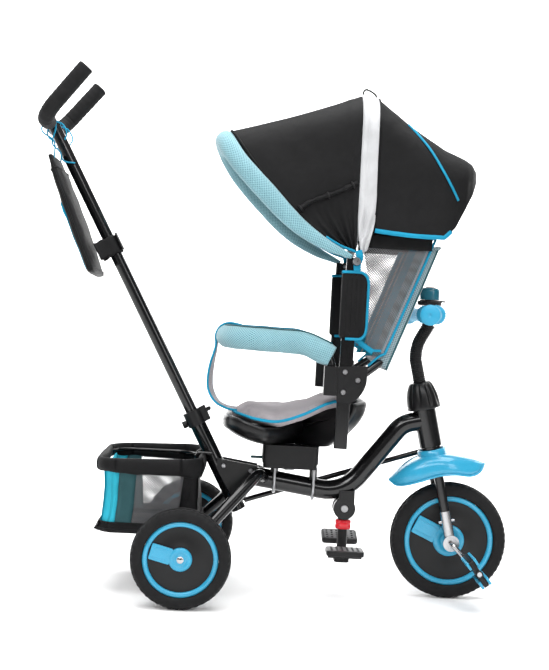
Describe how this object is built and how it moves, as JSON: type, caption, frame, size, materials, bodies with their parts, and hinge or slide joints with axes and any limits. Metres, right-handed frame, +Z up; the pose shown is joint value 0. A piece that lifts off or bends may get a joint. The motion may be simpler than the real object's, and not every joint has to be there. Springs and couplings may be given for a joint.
{
  "type": "children's tricycle",
  "caption": "Children's push tricycle: parent steering handle, rear-facing swivel seat, folding canopy, padded safety bar, footrest and cloth basket.",
  "frame": {"origin": "on the floor, under the middle of the whole tricycle", "axes": "+X the way the tricycle rolls, +Y its left side, +Z up; the seat faces -X"},
  "size_m": [1.0522, 0.462, 1.1026],
  "materials": {
    "black_paint": "gloss black paint",
    "bright_steel": "bright plated steel",
    "black_plastic": "fine satin grain",
    "blue_plastic": "glossy light blue",
    "tyre_black": "matt foam tyre with a fine tread",
    "foam_black": "soft foam sleeve",
    "black_cloth": "plain woven polyester",
    "stripe_cloth": "light grey and black woven polyester",
    "seat_cloth": "grey melange with cyan piping",
    "mesh_cloth": "open grey mesh",
    "edging_cloth": "pale blue mesh over padding, cyan piping",
    "basket_cloth": "black and turquoise polyester with mesh panels",
    "red_plastic": "glossy red",
    "bell_metal": "dark teal metallic"
  },
  "bodies": {
    "frame": {"backbone_tube": "black_paint", "head_tube": "black_paint", "head_bushes": "black_plastic", "handle_socket": "black_paint", "rear_frame": "black_paint", "rear_axle": "bright_steel", "frame_brackets": "black_plastic", "seat_mount": "black_plastic", "frame_bolts": "bright_steel", "basket_cloth": "basket_cloth", "basket_rim": "black_paint"},
    "rear_wheel_left": {"rear_tyre_left": "tyre_black", "rear_rim_left": "black_plastic", "rear_trim_left": "blue_plastic"},
    "rear_wheel_right": {"rear_tyre_right": "tyre_black", "rear_rim_right": "black_plastic", "rear_trim_right": "blue_plastic"},
    "fork": {"fork": "black_paint", "fork_ends": "bright_steel", "mudguard": "blue_plastic", "stem_cover": "black_plastic", "handlebar": "black_paint", "stem_bellows": "black_plastic", "grips": "black_plastic", "bell_base": "black_plastic", "bell_dome": "bell_metal"},
    "bell_lever": {"bell_lever": "black_plastic"},
    "front_wheel": {"front_tyre": "tyre_black", "front_rim": "black_plastic", "front_trim": "blue_plastic", "crank": "bright_steel"},
    "pedal_left": {"pedal_left": "black_plastic"},
    "pedal_right": {"pedal_right": "black_plastic"},
    "handle_shaft": {"handle_shaft": "black_paint", "clamp_collar": "black_plastic"},
    "clamp_lever": {"clamp_lever": "black_plastic"},
    "pull_knob": {"pull_knob": "black_plastic"},
    "handle": {"handle_tube": "black_paint", "foam_grips": "foam_black", "parent_bag": "black_cloth"},
    "steering_rod": {"steering_rod": "black_paint"},
    "seat": {"swivel_housing": "black_plastic", "seat_shell": "black_plastic", "seat_cushion": "seat_cloth", "seat_posts": "black_paint", "hinge_plates": "black_plastic", "seat_bolts": "bright_steel", "post_sleeves": "black_cloth", "canopy_hood": "stripe_cloth", "back_wings": "mesh_cloth"},
    "seat_lever": {"seat_lever": "black_plastic"},
    "backrest": {"back_frame": "black_paint", "back_panel": "seat_cloth"},
    "canopy": {"canopy_rim": "edging_cloth", "canopy_front": "black_cloth"},
    "safety_bar": {"safety_bar": "black_paint", "bar_padding": "seat_cloth", "crotch_strap": "seat_cloth"},
    "footrest": {"footrest": "black_plastic", "footrest_collar": "red_plastic"}
  },
  "joints": [
    {"name": "rear_wheel_left_spin", "type": "hinge", "parent": "frame", "child": "rear_wheel_left", "pos_m": [-0.17485, 0.21, 0.102], "axis": [0, 1, 0], "continuous": true},
    {"name": "rear_wheel_right_spin", "type": "hinge", "parent": "frame", "child": "rear_wheel_right", "pos_m": [-0.17485, -0.21, 0.102], "axis": [0, 1, 0], "continuous": true},
    {"name": "steering", "type": "hinge", "parent": "frame", "child": "fork", "pos_m": [0.39915, 0, 0.127], "axis": [-0.2284, 0, 0.9736], "range_deg": [-20, 20]},
    {"name": "front_wheel_spin", "type": "hinge", "parent": "fork", "child": "front_wheel", "pos_m": [0.39915, 0, 0.127], "axis": [0, 1, 0], "continuous": true},
    {"name": "pedal_left_spin", "type": "hinge", "parent": "front_wheel", "child": "pedal_left", "pos_m": [0.35635, 0.115, 0.16905], "axis": [0, 1, 0], "continuous": true},
    {"name": "pedal_right_spin", "type": "hinge", "parent": "front_wheel", "child": "pedal_right", "pos_m": [0.44195, -0.115, 0.08495], "axis": [0, 1, 0], "continuous": true},
    {"name": "bell_strike", "type": "hinge", "parent": "fork", "child": "bell_lever", "pos_m": [0.35315, -0.008, 0.6475], "axis": [0, 0, 1], "range_deg": [-20, 0], "stiffness_Nm_per_rad": 0.05, "springref_deg": 2.86},
    {"name": "handle_turn", "type": "hinge", "parent": "frame", "child": "handle_shaft", "pos_m": [-0.07225, 0, 0.191], "axis": [-0.4787, 0, 0.878], "range_deg": [-20, 20]},
    {"name": "rod_swing", "type": "hinge", "parent": "handle_shaft", "child": "steering_rod", "pos_m": [-0.06555, 0.051, 0.17871], "axis": [-0.4787, 0, 0.878], "range_deg": [-20, 20]},
    {"name": "clamp_open", "type": "hinge", "parent": "handle_shaft", "child": "clamp_lever", "pos_m": [-0.14779, 0, 0.38387], "axis": [0, 1, 0], "range_deg": [-75, 0]},
    {"name": "knob_pull", "type": "slide", "parent": "handle_shaft", "child": "pull_knob", "axis": [-0.878, 0, -0.4787], "range_m": [0, 0.006], "stiffness_N_per_m": 200, "springref_m": -0.002},
    {"name": "handle_height", "type": "slide", "parent": "handle_shaft", "child": "handle", "axis": [-0.4787, 0, 0.878], "range_m": [-0.12, 0.05]},
    {"name": "seat_swivel", "type": "hinge", "parent": "frame", "child": "seat", "pos_m": [0.04315, 0, 0.3], "axis": [0, 0, 1], "continuous": true},
    {"name": "seat_release", "type": "hinge", "parent": "seat", "child": "seat_lever", "pos_m": [0.00515, 0, 0.288], "axis": [0, 1, 0], "range_deg": [0, 8], "stiffness_Nm_per_rad": 0.3, "springref_deg": -2.86},
    {"name": "recline", "type": "hinge", "parent": "seat", "child": "backrest", "pos_m": [0.16815, 0, 0.474], "axis": [0, 1, 0], "range_deg": [-12, 0], "deforming": ["back_wings"]},
    {"name": "canopy_fold", "type": "hinge", "parent": "seat", "child": "canopy", "pos_m": [0.15215, 0, 0.718], "axis": [0, 1, 0], "range_deg": [0, 54], "deforming": ["canopy_front"]},
    {"name": "bar_lift", "type": "slide", "parent": "seat", "child": "safety_bar", "axis": [0, 0, 1], "range_m": [0, 0.05], "deforming": ["crotch_strap"]},
    {"name": "footrest_fold", "type": "hinge", "parent": "frame", "child": "footrest", "pos_m": [0.16715, 0, 0.187], "axis": [0, 1, 0], "range_deg": [0, 70]}
  ],
  "couplings": [
    {"joint": "handle_turn", "follows": "steering", "ratio": 1},
    {"joint": "rod_swing", "follows": "steering", "ratio": -1}
  ]
}
